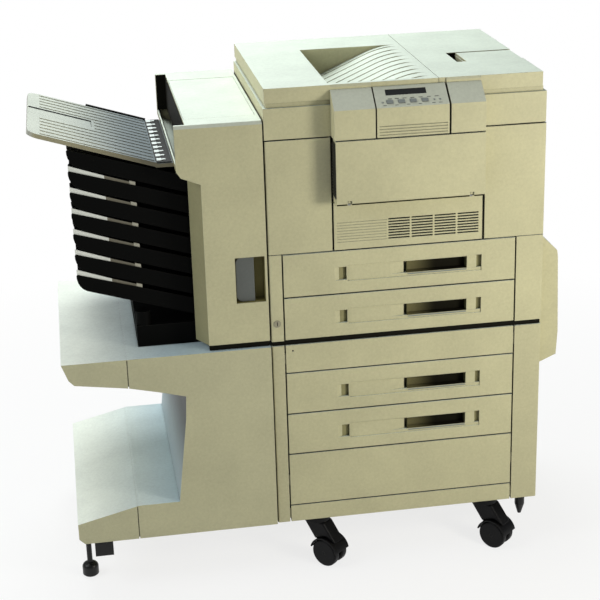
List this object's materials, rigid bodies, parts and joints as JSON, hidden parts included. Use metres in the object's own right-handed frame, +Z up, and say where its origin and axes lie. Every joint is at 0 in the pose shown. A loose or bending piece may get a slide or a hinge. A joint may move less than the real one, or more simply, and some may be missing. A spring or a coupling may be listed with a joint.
{
  "type": "laser printer",
  "caption": "Floor-standing office laser printer on a wheeled cassette pedestal, with hinged covers and a bin sorter on a side stand.",
  "frame": {"origin": "middle of the base of the machine's box, on the floor", "axes": "+X to the machine's right as seen by a user at its front, +Y to the back, +Z up"},
  "size_m": [1.1128, 0.557, 1.091],
  "materials": {
    "putty_shell": "fine matt texture",
    "pale_top": "fine matt texture",
    "painted_case": "fine matt paint",
    "stand_shell": "fine matt texture",
    "panel_shell": "fine matt texture",
    "key_grey": "satin",
    "display_dark": "gloss",
    "bin_black": "satin",
    "tray_cream": "satin",
    "cassette_grey": "satin",
    "grip_grey": "satin",
    "frame_steel": "galvanised",
    "black_steel": "satin",
    "bright_steel": "satin",
    "roller_rubber": "matt",
    "roller_coated": "gloss",
    "wheel_black": "satin",
    "dark_plastic": "satin"
  },
  "bodies": {
    "main_unit": {"pedestal_cabinet": "painted_case", "pedestal_rear_cover": "painted_case", "pedestal_top_rail": "putty_shell", "pedestal_lower_panel": "putty_shell", "pedestal_skirt": "putty_shell", "feeder_case": "putty_shell", "engine_frame": "frame_steel", "laser_scanner": "dark_plastic", "toner_cartridge": "dark_plastic", "fuser_unit": "dark_plastic", "engine_left_cover": "putty_shell", "engine_right_cover": "putty_shell", "rear_cover": "putty_shell", "power_inlet": "dark_plastic", "vent_grille": "putty_shell", "control_panel": "panel_shell", "display_window": "display_dark", "upper_left_cover": "pale_top", "stand_cabinet": "stand_shell", "stand_upper_end": "stand_shell", "stand_lower_end": "stand_shell", "foot_brackets": "black_steel"},
    "front_cover": {"front_cover": "putty_shell"},
    "upper_cover": {"upper_right_cover": "pale_top"},
    "release_lever": {"release_lever": "pale_top"},
    "lock_cylinder": {"lock_cylinder": "bright_steel"},
    "side_cover": {"side_cover": "putty_shell"},
    "sorter": {"sorter_housing": "putty_shell", "sorter_rack": "bin_black", "sorter_bins": "bin_black", "output_tray": "tray_cream"},
    "sorter_lid": {"sorter_lid": "pale_top"},
    "sorter_latch": {"sorter_latch": "grip_grey"},
    "tray_extension": {"tray_extension": "tray_cream"},
    "levelling_foot_front": {"levelling_foot_front": "black_steel"},
    "levelling_foot_rear": {"levelling_foot_rear": "black_steel"},
    "stop_foot": {"stop_foot": "black_steel"},
    "fuser_roller": {"fuser_roller": "roller_coated"},
    "pressure_roller": {"pressure_roller": "roller_rubber"},
    "fan_rotor": {"fan_rotor": "dark_plastic"},
    "cassette_1": {"cassette_tray_1": "cassette_grey", "cassette_front_1": "putty_shell"},
    "panel_key_1": {"panel_key_1": "key_grey"},
    "cassette_2": {"cassette_tray_2": "cassette_grey", "cassette_front_2": "putty_shell"},
    "panel_key_2": {"panel_key_2": "key_grey"},
    "cassette_3": {"cassette_tray_3": "cassette_grey", "cassette_front_3": "putty_shell"},
    "panel_key_3": {"panel_key_3": "key_grey"},
    "cassette_4": {"cassette_tray_4": "cassette_grey", "cassette_front_4": "putty_shell"},
    "panel_key_4": {"panel_key_4": "key_grey"},
    "caster_fork_front_left": {"caster_fork_front_left": "wheel_black"},
    "caster_wheels_front_left": {"caster_wheels_front_left": "wheel_black"},
    "caster_fork_front_right": {"caster_fork_front_right": "wheel_black"},
    "caster_wheels_front_right": {"caster_wheels_front_right": "wheel_black"},
    "caster_fork_rear_left": {"caster_fork_rear_left": "wheel_black"},
    "caster_wheels_rear_left": {"caster_wheels_rear_left": "wheel_black"},
    "caster_fork_rear_right": {"caster_fork_rear_right": "wheel_black"},
    "caster_wheels_rear_right": {"caster_wheels_rear_right": "wheel_black"}
  },
  "joints": [
    {"name": "front_cover_hinge", "type": "hinge", "parent": "main_unit", "child": "front_cover", "pos_m": [0.20838, -0.2695, 0.857], "axis": [1, 0, 0], "range_deg": [0, 90]},
    {"name": "upper_cover_hinge", "type": "hinge", "parent": "main_unit", "child": "upper_cover", "pos_m": [0.38988, 0.2385, 0.991], "axis": [-1, 0, 0], "range_deg": [0, 60]},
    {"name": "release_lever_pivot", "type": "hinge", "parent": "upper_cover", "child": "release_lever", "pos_m": [0.49238, -0.0465, 1.088], "axis": [0, 1, 0], "range_deg": [0, 45]},
    {"name": "panel_key_1_press", "type": "slide", "parent": "main_unit", "child": "panel_key_1", "axis": [0, 0.6383, -0.7698], "range_m": [0, 0.0015], "stiffness_N_per_m": 400, "springref_m": -0.0005},
    {"name": "panel_key_2_press", "type": "slide", "parent": "main_unit", "child": "panel_key_2", "axis": [0, 0.6383, -0.7698], "range_m": [0, 0.0015], "stiffness_N_per_m": 400, "springref_m": -0.0005},
    {"name": "panel_key_3_press", "type": "slide", "parent": "main_unit", "child": "panel_key_3", "axis": [0, 0.6383, -0.7698], "range_m": [0, 0.0015], "stiffness_N_per_m": 400, "springref_m": -0.0005},
    {"name": "panel_key_4_press", "type": "slide", "parent": "main_unit", "child": "panel_key_4", "axis": [0, 0.6383, -0.7698], "range_m": [0, 0.0015], "stiffness_N_per_m": 400, "springref_m": -0.0005},
    {"name": "lock_turn", "type": "hinge", "parent": "main_unit", "child": "lock_cylinder", "pos_m": [-0.07212, -0.2385, 0.589], "axis": [0, 1, 0], "range_deg": [0, 90]},
    {"name": "cassette_1_slide", "type": "slide", "parent": "main_unit", "child": "cassette_1", "axis": [0, -1, 0], "range_m": [0, 0.38]},
    {"name": "cassette_2_slide", "type": "slide", "parent": "main_unit", "child": "cassette_2", "axis": [0, -1, 0], "range_m": [0, 0.38]},
    {"name": "cassette_3_slide", "type": "slide", "parent": "main_unit", "child": "cassette_3", "axis": [0, -1, 0], "range_m": [0, 0.38]},
    {"name": "cassette_4_slide", "type": "slide", "parent": "main_unit", "child": "cassette_4", "axis": [0, -1, 0], "range_m": [0, 0.38]},
    {"name": "side_cover_hinge", "type": "hinge", "parent": "main_unit", "child": "side_cover", "pos_m": [0.51438, 0.2025, 0.5785], "axis": [0, 0, 1], "range_deg": [0, 85]},
    {"name": "sorter_slide", "type": "slide", "parent": "main_unit", "child": "sorter", "axis": [-1, 0, 0], "range_m": [0, 0.15]},
    {"name": "sorter_lid_hinge", "type": "hinge", "parent": "sorter", "child": "sorter_lid", "pos_m": [-0.16812, 0.1895, 1.025], "axis": [-1, 0, 0], "range_deg": [0, 80]},
    {"name": "sorter_latch_pull", "type": "hinge", "parent": "sorter", "child": "sorter_latch", "pos_m": [-0.11962, -0.228, 0.692], "axis": [0, 0, -1], "range_deg": [0, 25], "stiffness_Nm_per_rad": 0.3, "springref_deg": -11.46},
    {"name": "tray_extension_slide", "type": "slide", "parent": "sorter", "child": "tray_extension", "axis": [-0.9516, 0, 0.3074], "range_m": [0, 0.08]},
    {"name": "caster_swivel_front_left", "type": "hinge", "parent": "main_unit", "child": "caster_fork_front_left", "pos_m": [0.00638, -0.2045, 0.118], "axis": [0, 0, 1], "continuous": true},
    {"name": "caster_roll_front_left", "type": "hinge", "parent": "caster_fork_front_left", "child": "caster_wheels_front_left", "pos_m": [0.02957, -0.22937, 0.032], "axis": [0.7314, 0.682, 0], "continuous": true},
    {"name": "caster_swivel_front_right", "type": "hinge", "parent": "main_unit", "child": "caster_fork_front_right", "pos_m": [0.39238, -0.2045, 0.118], "axis": [0, 0, 1], "continuous": true},
    {"name": "caster_roll_front_right", "type": "hinge", "parent": "caster_fork_front_right", "child": "caster_wheels_front_right", "pos_m": [0.41557, -0.22937, 0.032], "axis": [0.7314, 0.682, 0], "continuous": true},
    {"name": "caster_swivel_rear_left", "type": "hinge", "parent": "main_unit", "child": "caster_fork_rear_left", "pos_m": [0.00638, 0.2175, 0.118], "axis": [0, 0, 1], "continuous": true},
    {"name": "caster_roll_rear_left", "type": "hinge", "parent": "caster_fork_rear_left", "child": "caster_wheels_rear_left", "pos_m": [0.02957, 0.19263, 0.032], "axis": [0.7314, 0.682, 0], "continuous": true},
    {"name": "caster_swivel_rear_right", "type": "hinge", "parent": "main_unit", "child": "caster_fork_rear_right", "pos_m": [0.39238, 0.2175, 0.118], "axis": [0, 0, 1], "continuous": true},
    {"name": "caster_roll_rear_right", "type": "hinge", "parent": "caster_fork_rear_right", "child": "caster_wheels_rear_right", "pos_m": [0.41557, 0.19263, 0.032], "axis": [0.7314, 0.682, 0], "continuous": true},
    {"name": "levelling_foot_front_screw", "type": "slide", "parent": "main_unit", "child": "levelling_foot_front", "axis": [0, 0, 1], "range_m": [-0.015, 0]},
    {"name": "levelling_foot_rear_screw", "type": "slide", "parent": "main_unit", "child": "levelling_foot_rear", "axis": [0, 0, 1], "range_m": [-0.015, 0]},
    {"name": "stop_foot_screw", "type": "slide", "parent": "main_unit", "child": "stop_foot", "axis": [0, 0, 1], "range_m": [-0.065, 0]},
    {"name": "fuser_roller_turn", "type": "hinge", "parent": "main_unit", "child": "fuser_roller", "pos_m": [0.00438, -0.1685, 0.8613], "axis": [0, 1, 0], "continuous": true},
    {"name": "pressure_roller_turn", "type": "hinge", "parent": "main_unit", "child": "pressure_roller", "pos_m": [0.00438, -0.1685, 0.826], "axis": [0, 1, 0], "continuous": true},
    {"name": "fan_spin", "type": "hinge", "parent": "main_unit", "child": "fan_rotor", "pos_m": [0.43438, 0.2265, 0.891], "axis": [0, 1, 0], "continuous": true}
  ],
  "couplings": [
    {"joint": "pressure_roller_turn", "follows": "fuser_roller_turn", "ratio": -1.0588}
  ]
}
